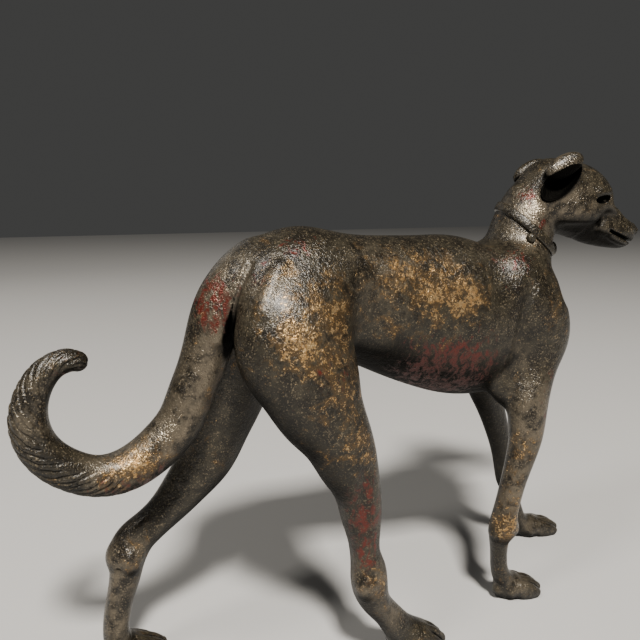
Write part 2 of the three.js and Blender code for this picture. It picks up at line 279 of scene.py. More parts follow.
# A groove or cord is a round profile of one radius along a few places.
def cordOf(places, radius):
    return limb([(*place, radius, radius, radius) for place in places])


# A form is laid out near zero, then turned level and moved to its place.
def turnedForm(form, move, turn):
    cos, sin = math.cos(turn), math.sin(turn)
    rotation = np.array([[cos, -sin, 0], [sin, cos, 0], [0, 0, 1]])
    box = (form["low"], form["high"])
    corners = np.array([[box[(i >> axis) & 1][axis] for axis in range(3)] for i in range(8)])
    corners = corners @ rotation.T + move

    def distance(points):
        return form["distance"]((points - np.array(move, points.dtype)) @ rotation.astype(points.dtype))

    return {"low": corners.min(axis=0), "high": corners.max(axis=0), "distance": distance}


# A form drawn out along x, y and z. Its distances are those of the plain form.
def stretchedForm(form, shares):
    shares = np.array(shares, float)

    def distance(points):
        return form["distance"](points / shares.astype(points.dtype)) * float(shares.min())

    return {"low": form["low"] * shares, "high": form["high"] * shares, "distance": distance}


# Steps are (join or carve, form, blend), worked one after the other. A form acts only near itself.
def worked(steps):
    low = np.min([form["low"] for way, form, _ in steps if way is join], axis=0)
    high = np.max([form["high"] for way, form, _ in steps if way is join], axis=0)

    def distance(points):
        gap = np.full(len(points), 60.0, points.dtype)
        for way, form, blend in steps:
            widest = blend if np.isscalar(blend) else max(blend[:2])
            margin = widest + 4.5
            inBox = (points > form["low"] - margin) & (points < form["high"] + margin)
            near = np.flatnonzero(inBox.all(axis=1))
            if len(near) == 0:
                continue
            spots = points[near]
            width = blend
            if not np.isscalar(blend):  # from the first blend to the second between two heights
                share = np.clip((spots[:, 2] - blend[2]) / (blend[3] - blend[2]), 0, 1)
                width = blend[0] + (blend[1] - blend[0]) * share
            gap[near] = way(gap[near], form["distance"](spots), width)
        return gap

    return {"low": low, "high": high, "distance": distance}


# Strokes fall back from the outer edge of the curl on both sides: narrow bell-shaped grooves in a
# slow saw tooth, fading towards the inside of the curl.
def tailStrokes(along, angle):
    form = tailForm
    turned = np.abs((angle - np.pi / 2 + np.pi) % (2 * np.pi) - np.pi)
    around = turned * np.interp(along, (100, 180, 225), (9, 7.8, 5))
    uneven = 0.35 * np.sin(along * 0.9) + 0.25 * np.sin(along * 0.37 + 3 * turned)
    way = (along - form["strokesFrom"] + form["lean"] * around + uneven) / form["spacing"]
    tooth = way - np.floor(way)
    groove = np.exp(-((tooth - 0.5) / form["width"]) ** 2) + 0.45 * np.clip(tooth * 2 - 1, 0, 1)
    outer = np.clip((2.15 + 0.2 * np.sin(np.floor(way) * 2.4) - turned) / 0.5, 0, 1)
    kept = np.clip((along - form["strokesFrom"]) / 6, 0, 1) * np.clip((form["strokesTo"] - along) / 5, 0, 1)
    return form["depth"] * groove * outer * kept


def pawSteps():
    toes = []
    for x, y, turn in pawForm["toes"]:
        toes.append((join, turnedForm(limb(pawForm["toe"]), (x, y, 0), turn), pawForm["betweenToes"]))
    paw = worked([(join, limb(pawForm["palm"]), 1), (join, worked(toes), pawForm["toeBlend"])])
    steps = []
    for x, y, turn, longer, higher in pawForm["paws"]:
        sized = stretchedForm(paw, (longer, 1, higher))
        steps.append((join, turnedForm(sized, (x, y, -pawForm["sunk"]), turn), pawForm["legBlend"]))
    return steps


muscleForm = {
    "shoulder": {
        "middle": (241, 15.2, 168), "sizes": (25, 12, 13), "longest": (0.45, -0.1, -0.88), "blend": 14,
    },
    "flank": {"middle": (147, 29, 170), "sizes": (8, 6, 18), "blend": 10},
    "elbowWeb": {"middle": (231, -18, 123), "sizes": (9, 4, 7), "blend": 8},
    "creases": [  # places on the right side, radius, blend
        ([(233, -32, 180), (230.2, -31.2, 166), (229.2, -30.2, 153), (229.2, -28.6, 144), (228.2, -26, 135),
          (226, -24.8, 126)], 2.4, 4),
        ([(284, -1, 176), (276, -12, 172), (262, -24, 172)], 1.5, 8),
    ],
    "hipRidge": {
        "places": [
            (103, -21, 193.5), (101, -22.5, 190.9), (97.5, -24.5, 186.4), (94.4, -26.7, 181.6),
            (91.9, -28.4, 176.8),
        ],
        "radius": 2.7, "sunk": 1.9, "blend": 3,
    },
    "tailRidge": {
        "places": [(97, -6, 192.5), (90, -8, 184), (84, -9, 174.5), (80, -9.2, 163)],
        "radius": 2.2, "blend": 5,
    },
    "tailFold": {
        "places": [
            (95.6, -9, 190.5), (92, -10, 186), (88.4, -10.8, 181), (85.4, -11.2, 175.5),
            (83.8, -11, 170.5), (82.8, -11, 166),
        ],
        "radius": 0.85, "sunk": 0.5, "blend": 0.7,
    },
    "tailValley": {"shift": (1.6, -1.8, 0), "radius": 1.2, "sunk": -0.4, "blend": 1.6},
}


def muscleSteps():
    steps = []
    shoulder, flank, web = (muscleForm[name] for name in ("shoulder", "flank", "elbowWeb"))
    for side in (-1, 1):
        mirror = np.array((1, side, 1))
        longest = shoulder["longest"] * mirror
        shape = egg(shoulder["middle"] * mirror, shoulder["sizes"], longest, (0, side, 0))
        steps.append((join, shape, shoulder["blend"]))
        steps.append((carve, egg(flank["middle"] * mirror, flank["sizes"]), flank["blend"]))
        ridge = muscleForm["tailRidge"]
        places = np.array(ridge["places"]) * mirror * (1, -1, 1)
        steps.append((join, cordOf(places, ridge["radius"]), ridge["blend"]))
        for places, radius, blend in muscleForm["creases"]:
            steps.append((carve, cordOf(np.array(places) * mirror * (1, -1, 1), radius), blend))
    steps.append((join, egg(web["middle"], web["sizes"], (0.8, 0, -0.6)), web["blend"]))
    return steps


jointForm = {
    "knobs": [  # middle, half sizes, blend
        ((138.5, -34.5, 47), (4.2, 4, 5), 4), ((38.5, 24, 57), (4, 4.6, 5), 4),
        ((44, 17.5, 57), (4, 3, 5), 4), ((227.5, -21, 44.5), (3, 3.6, 3.2), 3),
        ((236.5, -22, 46.5), (3.4, 4.6, 4), 3),
    ],
    "hollows": [  # places along a groove, radius, blend
        ([(133.5, -43, 104), (133.5, -40.4, 80), (136.5, -39.6, 60)], 1.6, 5),
        ([(133.5, -17, 104), (133.5, -19.6, 80), (136.5, -20.4, 60)], 1.6, 5),
        ([(64, 13.2, 88), (53, 15, 74), (47, 15.2, 66)], 1.6, 5),
        ([(64, 34.8, 88), (53, 33, 74), (47, 32.8, 66)], 1.6, 5),
        ([(226, -26.5, 38), (233, -28, 37), (239, -25, 39)], 1.6, 3),
        ([(38.2, 17.6, 53), (36.6, 18.4, 45), (35.6, 18.8, 37), (35.2, 18.3, 28), (35.4, 18, 20)], 1.1, 1.4),
        ([(38.2, 30.4, 53), (36.6, 30.4, 45), (35.6, 30.8, 37), (35.2, 31, 28), (35.4, 31.6, 20)], 1.1, 1.4),
    ],
}


def jointSteps():
    steps = [(join, egg(middle, sizes), blend) for middle, sizes, blend in jointForm["knobs"]]
    return steps + [(carve, cordOf(places, radius), blend) for places, radius, blend in jointForm["hollows"]]


# The head is laid out from the top of the neck, then turned to the hound's right.
headForm = {
    "pivot": (256, 0, 0),
    "turn": -0.26,
    "skull": [
        (-5, 0, 223, 4, 4, 6), (-1, 0, 223.2, 10, 9.5, 13), (6.5, 0, 223.3, 15.6, 17, 18.5),
        (19, 0, 222.5, 17, 18.7, 20.5), (30, 0, 220.5, 15.5, 18.2, 21), (37, 0, 217.8, 13.2, 15.6, 21),
        (43, 0, 213.5, 10.8, 11.2, 19.5), (50, 0, 208.5, 8.8, 8, 15.8), (57, 0, 204.8, 7.6, 6.3, 12),
        (62.5, 0, 203.5, 6, 4.8, 8.6), (66, 0, 203.8, 2.8, 2.3, 3.6),
    ],
    "cup": {"middle": (11.6, 14.4, 230), "sizes": (13.9, 6.6, 6.5), "longest": (0.74, -0.11, 0.66)},
    "earHollow": {"middle": (8.7, 17.6, 228.9), "sizes": (13.9, 6.3, 6.2), "longest": (0.74, -0.11, 0.66)},
    "flap": {"middle": (10.9, 16.6, 237.1), "sizes": (10.8, 5.7, 4.2), "longest": (0.9, 0, 0.45)},
    "earFaces": (-0.53, 0.845, -0.03),
    "leftEarShift": (-0.2, 0.2, -1.5),  # the left ear lies lower than the right one
    "mouth": {"at": (51, 0, 201.4), "tilt": 0.35, "depth": 2.6, "halfRise": 0.75, "behind": 7.2},
    "pairs": [  # way, middle, half sizes, longest axis, blend; given for the left, mirrored
        (join, (22, 12.5, 213.5), (13, 5.5, 8), (1, 0, 0), 6),  # cheek
        (carve, (22, 14.5, 203.2), (19, 4.6, 4), (1, 0, 0), 3),  # under the cheek
        (join, (37.5, 11.0, 224.4), (7.5, 3.2, 2.8), (0.86, -0.5, 0.12), 2.5),  # brow
        (carve, (47, 11, 208), (9, 3.6, 5), (1, 0, 0), 5),  # hollow between cheek and muzzle
        (carve, (36.8, 12.9, 220.3), (6.6, 3.6, 1.9), (0.85, -0.51, 0.12), 0.8),  # eye slit
        (join, (39, 9.3, 219.8), (2.8, 2.0, 1.6), (0.85, -0.51, 0.1), 0.5),  # eye
        (join, (47, 7.4, 205.2), (8, 2.2, 3), (1, -0.25, -0.4), 5),  # upper lip
        (join, (42.6, 8.4, 204), (4, 1.6, 2.2), (1, -0.25, -0.3), 4),  # lip corner
        (join, (51.5, 6.2, 198.6), (8.5, 2.1, 2.1), (1, -0.25, -0.38), 1.2),  # lower lip
    ],
    "furrow": ((47, 0, 222.5), (9, 2.4, 3.4), (1, 0, -0.7), 4),  # between the brows
    "browDip": ((50.2, 0, 219.4), (5, 9, 3.2), (1, 0, 0), 3),
    "nose": ((63.4, 0, 205.3), (3.0, 4.1, 2.7), (1, 0, 0), 1.4),
    "nostril": ((66.8, 2.5, 204.8), (1.8, 1, 1.1), (1, 0, 0), 0.6),
    "mouthBlend": 0.5,
    "ears": ((join, "cup", 2.5), (carve, "earHollow", 0.6), (join, "flap", 1.2)),
}


# The mouth is a thin slab, tilted with the muzzle, that cuts in from the skin of the lips.
def mouthSlab():
    form = headForm["mouth"]
    middle = np.array(form["at"])
    cos, sin = math.cos(form["tilt"]), math.sin(form["tilt"])

    def distance(points):
        away = points - middle.astype(points.dtype)
        ahead = away[:, 0] * cos - away[:, 2] * sin
        rise = away[:, 0] * sin + away[:, 2] * cos
        shell = np.abs(skull["distance"](points)) - form["depth"]
        return np.maximum(np.maximum(np.abs(rise) - form["halfRise"], -(ahead + form["behind"])), shell)

    return {"low": middle - (18, 20, 10), "high": middle + (20, 20, 10), "distance": distance}


skull = limb(headForm["skull"])


def earEgg(name, side):
    form = headForm[name]
    mirror = np.array((1, side, 1))
    middle = form["middle"] * mirror + (side > 0) * np.array(headForm["leftEarShift"])
    return egg(middle, form["sizes"], form["longest"] * mirror, headForm["earFaces"] * mirror)


def headEgg(way, middle, sizes, longest, blend, side=1):
    mirror = np.array((1, side, 1))
    return way, egg(middle * mirror, sizes, longest * mirror), blend


def headSteps():
    steps = [(join, skull, 1)]
    for side in (-1, 1):
        steps += [headEgg(*given, side) for given in headForm["pairs"]]
    steps += [headEgg(carve, *headForm[name]) for name in ("furrow", "browDip")]
    steps.append((carve, mouthSlab(), headForm["mouthBlend"]))
    steps.append(headEgg(join, *headForm["nose"]))
    steps += [headEgg(carve, *headForm["nostril"], side) for side in (-1, 1)]
    for side in (-1, 1):
        steps += [(way, earEgg(name, side), blend) for way, name, blend in headForm["ears"]]
    return steps


# Distance and its slope, by differences over a tenth of a millimetre.
def gapAndSlope(skin, points, reach=0.1):
    gap = skin(points)
    slope = np.empty_like(points)
    for axis in range(3):
        step = np.zeros(3)
        step[axis] = reach
        slope[:, axis] = (skin(points + step) - gap) / reach
    return gap, slope


# Way from each place to the skin: distance x slope over the slope's squared length.
def wayToSkin(skin, points):
    gap, slope = gapAndSlope(skin, points)
    return gap[:, None] * slope / np.maximum((slope ** 2).sum(axis=1), 0.2)[:, None], slope


# Moves places until they lie on the skin of a form, then sinks them.
def onSkin(form, places, sunk):
    for _ in range(6):
        moved, slope = wayToSkin(form["distance"], places)
        places = places - moved
    return places - sunk * slope / np.linalg.norm(slope, axis=1)[:, None]


# A crisp fold stands beside the root of the tail, with a shallow valley behind it, and a soft ridge
# runs down the hip. Each is a cord laid on the skin and sunk a little, on both sides.
def tailFolds(form):
    fold, valley, hip = (muscleForm[name] for name in ("tailFold", "tailValley", "hipRidge"))
    steps = []
    for side in (-1, 1):
        mirror = (1, -side, 1)
        places = np.array(fold["places"]) * mirror
        behind = places + np.array(valley["shift"]) * mirror
        across = np.array(hip["places"]) * mirror
        steps.append((join, cordOf(onSkin(form, places, fold["sunk"]), fold["radius"]), fold["blend"]))
        steps.append((carve, cordOf(onSkin(form, behind, valley["sunk"]), valley["radius"]), valley["blend"]))
        steps.append((join, cordOf(onSkin(form, across, hip["sunk"]), hip["radius"]), hip["blend"]))
    return steps


# How far each limb runs into the one before it. The tail's blend grows between two heights.
blends = {"neck": 9, "legs": (12, 12, 7, 7), "tail": (1.0, 6, 162, 182), "head": 5}


def wholeForm():
    trunk, neck, *legs = (limb(stations) for stations in bodyForm.values())
    steps = [(join, trunk, 1), (join, neck, blends["neck"])]
    steps += [(join, leg, blend) for leg, blend in zip(legs, blends["legs"])]
    steps += [(join, limb(tailForm["line"], tailStrokes), blends["tail"])]
    steps += muscleSteps() + jointSteps() + pawSteps()
    steps += tailFolds(worked(steps))
    head = turnedForm(worked(headSteps()), headForm["pivot"], headForm["turn"])
    steps.append((join, head, blends["head"]))
    return worked(steps)


collarForm = {
    "through": (256, 0, 204.6),
    "lies": (0.566, -0.293, 0.770),  # square to the band
    "width": 5.0,
    "proud": 1.4,
    "sunk": 1.8,
    "around": 240,
}


# The insides of both ears, painted black as the shade under the ear flaps.
bothHollows = worked([(join, earEgg("earHollow", side), 0.1) for side in (-1, 1)])
earHollows = turnedForm(bothHollows, headForm["pivot"], headForm["turn"])


# Which side of the collar a place is on, above it positive.
def overCollar(points):
    through, lies = (np.array(collarForm[name], points.dtype) for name in ("through", "lies"))
    return (points - through) @ lies


hound = wholeForm()
houndSkin = hound["distance"]


def bodySkin(points):
    ground = -points[:, 2]  # the soles are ground to the floor
    return np.maximum(np.maximum(houndSkin(points), overCollar(points)), ground)


def headSkin(points):
    return np.maximum(houndSkin(points), -overCollar(points))


meshForm = {
    "body": {"skin": bodySkin, "low": (-3, -46, -2), "high": (324, 46, 222), "cell": 0.62},
    "head": {"skin": headSkin, "low": (232, -34, 190), "high": (326, 26, 248), "cell": 0.46},
    "triangles": 192000,  # at most, in each of the two
}


# Skin of a distance: the grid is worked only in blocks near the skin, then one vertex goes in
# each cell that the skin crosses, at the mean of its crossings, and a quad on each crossed edge.
def skinMesh(skin, low, high, cell):
    block = 4
    low = np.array(low, float)
    counts = np.ceil((np.array(high) - low) / (cell * block)).astype(int)
    centres = np.stack(np.meshgrid(*[np.arange(n) for n in counts], indexing="ij"), axis=-1).reshape(-1, 3)
    middles = (low + (centres * block + (block - 1) / 2) * cell).astype(np.float32)
    rough = skin(middles)
    near = np.abs(rough) < 1.3 * cell * block
    grid = np.repeat(np.repeat(np.repeat(rough.reshape(counts), block, 0), block, 1), block, 2)
    steps = np.stack(np.meshgrid(*[np.arange(block)] * 3, indexing="ij"), axis=-1).reshape(-1, 3)
    cells = (centres[near][:, None] * block + steps[None]).reshape(-1, 3)
    grid[tuple(cells.T)] = skin((low + cells * cell).astype(np.float32))
    inside = grid < 0
    corners = np.stack(np.meshgrid(*[np.arange(2)] * 3, indexing="ij"), axis=-1).reshape(-1, 3)
    size = np.array(grid.shape) - 1
    filled = np.zeros(size, np.uint8)
    for corner in corners:
        filled += inside[tuple(slice(first, first + count) for first, count in zip(corner, size))]
    crossed = np.argwhere((filled > 0) & (filled < 8))
    total = np.zeros((len(crossed), 3))
    found = np.zeros((len(crossed), 1))
    for start in corners:
        for axis in np.flatnonzero(start == 0):
            end = start.copy()
            end[axis] = 1
            first = grid[tuple((crossed + start).T)].astype(float)
            second = grid[tuple((crossed + end).T)].astype(float)
            cut = ((first < 0) != (second < 0))[:, None]
            share = (first / np.where(first == second, 1, first - second))[:, None]
            total += np.where(cut, start + share * (end - start), 0)
            found += cut
    vertices = low + (crossed + total / found) * cell
    number = np.full(size, -1, np.int32)
    number[tuple(crossed.T)] = np.arange(len(crossed))
    faces = []
    for axis in range(3):
        one, two = (axis + 1) % 3, (axis + 2) % 3
        ahead = [slice(None)] * 3
        behind = [slice(None)] * 3
        ahead[axis], behind[axis] = slice(1, None), slice(None, -1)
        changes = np.argwhere(inside[tuple(ahead)] != inside[tuple(behind)])
        changes = changes[(changes[:, one] > 0) & (changes[:, two] > 0)]
        changes = changes[(changes < size).all(axis=1)]
        back = np.zeros(3, int)
        quad = []
        for shiftOne, shiftTwo in ((1, 1), (0, 1), (0, 0), (1, 0)):
            back[one], back[two] = shiftOne, shiftTwo
            quad.append(number[tuple((changes - back).T)])
        quad = np.stack(quad, axis=1)
        outward = inside[tuple(changes.T)]
        quad[~outward] = quad[~outward][:, ::-1]
        faces.append(quad)
    return vertices, np.concatenate(faces)


# Each vertex moves to the skin, by at most 0.6 mm at a time along each axis.
def settled(skin, points, times):
    for _ in range(times):
        points = points - np.clip(wayToSkin(skin, points)[0], -0.6, 0.6)
    return points


def meshOf(name, vertices, faces):
    mesh = bpy.data.meshes.new(name)
    mesh.from_pydata(vertices, [], faces)
    mesh.validate()
    mesh.polygons.foreach_set("use_smooth", np.ones(len(mesh.polygons), bool))
    mesh.update()
    return mesh


def verticesOf(mesh):
    flat = np.empty(len(mesh.vertices) * 3)
    mesh.vertices.foreach_get("co", flat)
    return flat.reshape(-1, 3)


def pieceOf(name, mesh, material):
    piece = bpy.data.objects.new(name, mesh)
    bpy.context.scene.collection.objects.link(piece)
    mesh.materials.append(material)
    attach(piece, "root")
    return piece


# Collapses the flattest faces until the mesh has the number of triangles asked for.
def thinned(mesh, triangles):
    now = sum(len(face.vertices) - 2 for face in mesh.polygons)
    if now <= triangles:
        return mesh
    helper = bpy.data.objects.new("helper", mesh)
    bpy.context.scene.collection.objects.link(helper)
    collapse = helper.modifiers.new("collapse", "DECIMATE")
    collapse.ratio = triangles / now
    graph = bpy.context.evaluated_depsgraph_get()
    lighter = bpy.data.meshes.new_from_object(helper.evaluated_get(graph))
    bpy.data.objects.remove(helper)
    return lighter


finish = {
    "shadeFrom": 0.08,  # how far a place faces down before painted shade starts on it
    "shadeOver": 0.45,
    "earEdge": 0.6,  # mm outside the ears' hollows that is still painted black as shade
    "redSpots": [  # middle, radius, strength
        ((80, -7, 182), 12, 1.0), ((78, -8, 170), 9, 0.8), ((112, -20, 205), 14, 0.8),
        ((178, -24, 138), 26, 1.0), ((188, -16, 130), 16, 0.8), ((205, -22, 138), 18, 1.0),
        ((228, -22, 190), 14, 0.8), ((250, -29, 125), 12, 0.8), ((246, -31, 108), 8, 0.7),
        ((133, -38, 100), 13, 0.7), ((137, -38, 80), 13, 0.9), ((137, -38, 62), 12, 0.8),
        ((118, -38, 150), 14, 0.7), ((56, -6, 108), 9, 0.8), ((42, -6, 103), 9, 0.9),
        ((28, -5, 106), 8, 0.6), ((22, 0, 155), 9, 0.9), ((249, -8, 222), 8, 0.9),
        ((252, -16, 207), 7, 0.8), ((94, -22, 190), 8, 0.6), ((262, -24, 178), 12, 0.6),
    ],
    "goldSpots": [
        ((184, -25, 187), 13, 1.0), ((198, -28, 177), 11, 1.0), ((176, -27, 170), 18, 0.6),
        ((118, -36, 172), 20, 0.75), ((126, -40, 140), 18, 0.9), ((132, -41, 112), 14, 0.7),
        ((88, -9, 150), 14, 0.8), ((80, -10, 130), 12, 0.7), ((50, -9, 115), 13, 0.9),
        ((34, -9, 112), 8, 0.6), ((247, -12, 198), 9, 0.8), ((234, -27, 60), 13, 0.9),
        ((238, -27, 95), 14, 0.7), ((230, -26, 46), 8, 0.9), ((160, -24, 190), 20, 0.55),
        ((104, -26, 190), 14, 0.5), ((144, -36, 45), 10, 0.8), ((250, -30, 165), 14, 0.5),
        ((104, -34, 160), 12, 0.6), ((150, -34, 20), 10, 0.5), ((46, 16, 62), 10, 0.6),
    ],
    # Polished bronze where rubbed, set where highlights fall and made paler there as a painted highlight.
    "polishAndHighlightSpots": [
        ((89, -8, 186), 9, 0.9), ((83, -9, 172), 9, 0.9), ((78, -9, 158), 9, 0.9),
        ((73, -9, 144), 9, 1.0), ((66, -9, 130), 9, 1.0), ((57, -8, 121), 9, 1.0),
        ((46, -8, 115), 9, 0.9), ((34, -8, 112), 9, 0.7), ((8, -7, 140), 12, 0.5),
        ((249, -14, 214), 12, 1.0), ((247, -12, 199), 8, 0.7), ((264, -20, 217), 9, 0.8),
        ((261, -21, 240), 8, 1.0), ((276, -21, 218), 8, 0.4), ((292, -16, 212), 9, 0.4),
        ((96, -25, 185), 8, 0.8), ((240, -31, 118), 11, 0.8), ((240, -32, 104), 11, 1.0),
        ((238, -30, 90), 10, 1.0), ((236, -28, 76), 9, 1.0), ((233, -27, 63), 9, 1.0),
        ((231, -26, 47), 7, 0.9), ((244, -20, 12), 9, 0.6), ((228, -30, 140), 8, 0.7),
        ((138, -37, 48), 9, 0.8), ((150, -35, 30), 9, 0.5), ((42, 20, 62), 9, 1.0),
        ((38, 20, 46), 9, 0.8), ((36, 20, 28), 10, 0.8), ((113, -36, 170), 14, 0.2),
        ((302, 24, 10), 12, 0.6), ((152, -27, 188), 16, 0.3),
    ],
}


# Sum of bell-shaped spots: strength x exp(-(distance / radius) squared).
def spotsAt(points, spots):
    total = np.zeros(len(points))
    for middle, radius, strength in spots:
        gap = ((points - np.array(middle)) ** 2).sum(axis=1)
        total += strength * np.exp(-gap / radius ** 2)
    return np.clip(total, 0, 1)


# Hollow: how far short of its own distance a place lifted off the skin falls; it marks recesses and, with the
# ear insides, is painted dark as shade.
# Ridge: the same for a place sunk under the skin. Underside: how far the skin faces down, painted dark as
# shade.
def marked(mesh, skin, points):
    _, slope = gapAndSlope(skin, points)
    normal = slope / np.maximum(np.linalg.norm(slope, axis=1), 1e-6)[:, None]
    paintedShade = 1 - np.minimum(skin(points + normal * 2.5) / 2.5, skin(points + normal * 5) / 5)
    surfaceMasks = {
        "paintedShade": np.maximum(paintedShade, earHollows["distance"](points) < finish["earEdge"]),
        "underside": (-normal[:, 2] - finish["shadeFrom"]) / finish["shadeOver"],
        "ridge": 1 + skin(points - normal * 2.0) / 2.0,
        "redLacquer": spotsAt(points, finish["redSpots"]),
        "gilding": spotsAt(points, finish["goldSpots"]),
        "polishAndHighlight": spotsAt(points, finish["polishAndHighlightSpots"]),
    }
    for name, values in surfaceMasks.items():
        layer = mesh.attributes.new(name, "FLOAT", "POINT")
        layer.data.foreach_set("value", np.clip(values, 0, 1).astype(np.float32))


def node(tree, kind, **values):
    made = tree.nodes.new(kind)
    for name, value in values.items():
        setattr(made, name, value)
    return made


# Each source is the output of another node or a plain value.
def linked(tree, source, socket):
    if isinstance(source, bpy.types.NodeSocket):
        tree.links.new(source, socket)
    else:
        socket.default_value = source


def feed(tree, target, **sources):
    for name, source in sources.items():
        linked(tree, source, target.inputs[name])


def mathNode(tree, operation, *sources, clamp=False):
    made = node(tree, "ShaderNodeMath", operation=operation, use_clamp=clamp)
    for i, source in enumerate(sources):
        linked(tree, source, made.inputs[i])
    return made.outputs[0]


def stepped(tree, value, low, high):
    made = node(tree, "ShaderNodeMapRange", interpolation_type="SMOOTHSTEP")
    feed(tree, made, **{"Value": value, "From Min": low, "From Max": high})
    return made.outputs["Result"]


def mixed(tree, share, first, second):
    made = node(tree, "ShaderNodeMix", data_type="RGBA")
    for i, source in ((0, share), (6, first), (7, second)):
        linked(tree, source, made.inputs[i])
    return made.outputs[2]


def noise(tree, coordinates, scale, detail=3.0, roughness=0.55, distortion=0.0):
    made = node(tree, "ShaderNodeTexNoise")
    feed(tree, made, Vector=coordinates, Scale=scale, Detail=detail)
    feed(tree, made, Roughness=roughness, Distortion=distortion)
    return made.outputs["Fac"]


def stretched(tree, coordinates, turn, scale):
    made = node(tree, "ShaderNodeMapping")
    feed(tree, made, Vector=coordinates, Rotation=turn, Scale=scale)
    return made.outputs["Vector"]


def groupOf(name, inputs, outputs):
    tree = bpy.data.node_groups.new(name, "ShaderNodeTree")
    for label, kind, value in inputs:
        socket = tree.interface.new_socket(label, in_out="INPUT", socket_type=kind)
        if value is not None:
            socket.default_value = value
    for label, kind in outputs:
        tree.interface.new_socket(label, in_out="OUTPUT", socket_type=kind)
    return tree, node(tree, "NodeGroupInput").outputs, node(tree, "NodeGroupOutput").inputs


grain = {  # scale per metre, detail, roughness and distortion of each noise
    "patches": (95, 4, 0.65, 0.9),
    "flakes": (380, 4, 0.72, 0.6),
    "dust": (1350, 2, 0.6, 0.3),
    "strokes": (900, 2, 0.6),
    "crossStrokes": (800, 2, 0.6),
    "strokeFields": (90, 1),
    "pits": (1250, 2, 0.6),
    "lumps": (330, 3, 0.6),
    "sheen": (34, 3, 0.6),
    "tone": (130, 5, 0.7),
    "redStreaks": (300, 5, 0.74, 0.6),
    "goldTone": (420, 3, 0.7),
}


# Three kinds of mark, each a noise that passes a bar, and the bar falls as the amount rises.
# Rub is broad and smudged, flakes are broken at every size, and specks are as fine as dust; rub and flakes
# are worn gilding, and the specks serve as painted glints and as gilt on edges.
def wearAndGlintGroup():
    tree, given, out = groupOf(
        "worn gilding and painted glints",
        [("Coordinates", "NodeSocketVector", None), ("Amount", "NodeSocketFloat", 0.5)],
        [("Rub", "NodeSocketFloat"), ("Flakes", "NodeSocketFloat"), ("Specks", "NodeSocketFloat")],
    )
    broad, middle, fine = (
        noise(tree, given["Coordinates"], *grain[name]) for name in ("patches", "flakes", "dust"))
    smudge = mathNode(tree, "MULTIPLY_ADD", broad, 0.62, mathNode(tree, "MULTIPLY", middle, 0.38))
    rubBar = mathNode(tree, "MULTIPLY_ADD", given["Amount"], -0.20, 0.60)
    tree.links.new(stepped(tree, mathNode(tree, "SUBTRACT", smudge, rubBar), 0.0, 0.14), out["Rub"])
    broken = mathNode(tree, "MULTIPLY_ADD", broad, 0.30, mathNode(tree, "MULTIPLY", middle, 0.45))
    broken = mathNode(tree, "MULTIPLY_ADD", fine, 0.25, broken)
    flakeBar = mathNode(tree, "MULTIPLY_ADD", given["Amount"], -0.12, 0.635)
    tree.links.new(stepped(tree, mathNode(tree, "SUBTRACT", broken, flakeBar), 0.0, 0.035), out["Flakes"])
    dust = mathNode(tree, "MULTIPLY_ADD", fine, 0.7, mathNode(tree, "MULTIPLY", middle, 0.3))
    tree.links.new(stepped(tree, dust, 0.545, 0.625), out["Specks"])
    return tree


# Tool marks: noise drawn out along two directions, one or the other by a broad noise, with fine pits.
def toolMarkGroup():
    tree, given, out = groupOf(
        "tool marks",
        [("Coordinates", "NodeSocketVector", None), ("Depth", "NodeSocketFloat", 1.0)],
        [("Height", "NodeSocketFloat")],
    )
    drawnOut = (1, 1, 0.22)
    one = stretched(tree, given["Coordinates"], (0.3, 0.9, 0.2), drawnOut)
    two = stretched(tree, given["Coordinates"], (-0.5, 2.1, 0.6), drawnOut)
    one, two = noise(tree, one, *grain["strokes"]), noise(tree, two, *grain["crossStrokes"])
    broad = stepped(tree, noise(tree, given["Coordinates"], *grain["strokeFields"]), 0.42, 0.58)
    marks = node(tree, "ShaderNodeMix", data_type="FLOAT")
    for i, source in ((0, broad), (2, one), (3, two)):
        tree.links.new(source, marks.inputs[i])
    pits = noise(tree, given["Coordinates"], *grain["pits"])
    lumps = noise(tree, given["Coordinates"], *grain["lumps"])
    height = mathNode(tree, "MULTIPLY_ADD", pits, 0.9, mathNode(tree, "MULTIPLY", marks.outputs[0], 0.7))
    height = mathNode(tree, "MULTIPLY_ADD", lumps, 1.3, height)
    tree.links.new(mathNode(tree, "MULTIPLY", height, given["Depth"]), out["Height"])
    return tree


lacquer = {
    "umber": (0.0085, 0.0068, 0.0044, 1),
    "olive": (0.026, 0.0218, 0.0138, 1),
    # Pale brown of the fine specks, painted glints.
    "glintSpeck": (0.120, 0.096, 0.060, 1),
    # Paler colour of the polished spots, partly polished bronze and partly a painted highlight.
    "polishAndHighlightColour": (0.270, 0.222, 0.160, 1),
    # Near black of the painted shade in recesses, ear insides and on downward faces.
    "paintedShade": (0.0030, 0.0028, 0.0024, 1),
    "red": (0.078, 0.0085, 0.0045, 1),
    "rub": (0.115, 0.072, 0.033, 1),
    "ochre": (0.330, 0.190, 0.070, 1),
    "tan": (0.400, 0.275, 0.135, 1),
    "coat": 0.12,
    "specular": 0.4,
    "coatRoughness": 0.3,
    "relief": 0.00038,  # depth of the tool marks in metres
    "glintSpeckShare": 0.75,
    "polishAndHighlightShare": 0.5,
    "redShare": 0.9,
    "rubShare": 0.7,
    # strength of the painted shade on downward faces
    "shadeShare": 0.9,
    "metal": 0.3,  # how metallic the plain lacquer is
    "smoothest": 0.15,
}


def attribute(tree, name):
    return node(tree, "ShaderNodeAttribute", attribute_name=name).outputs["Fac"]


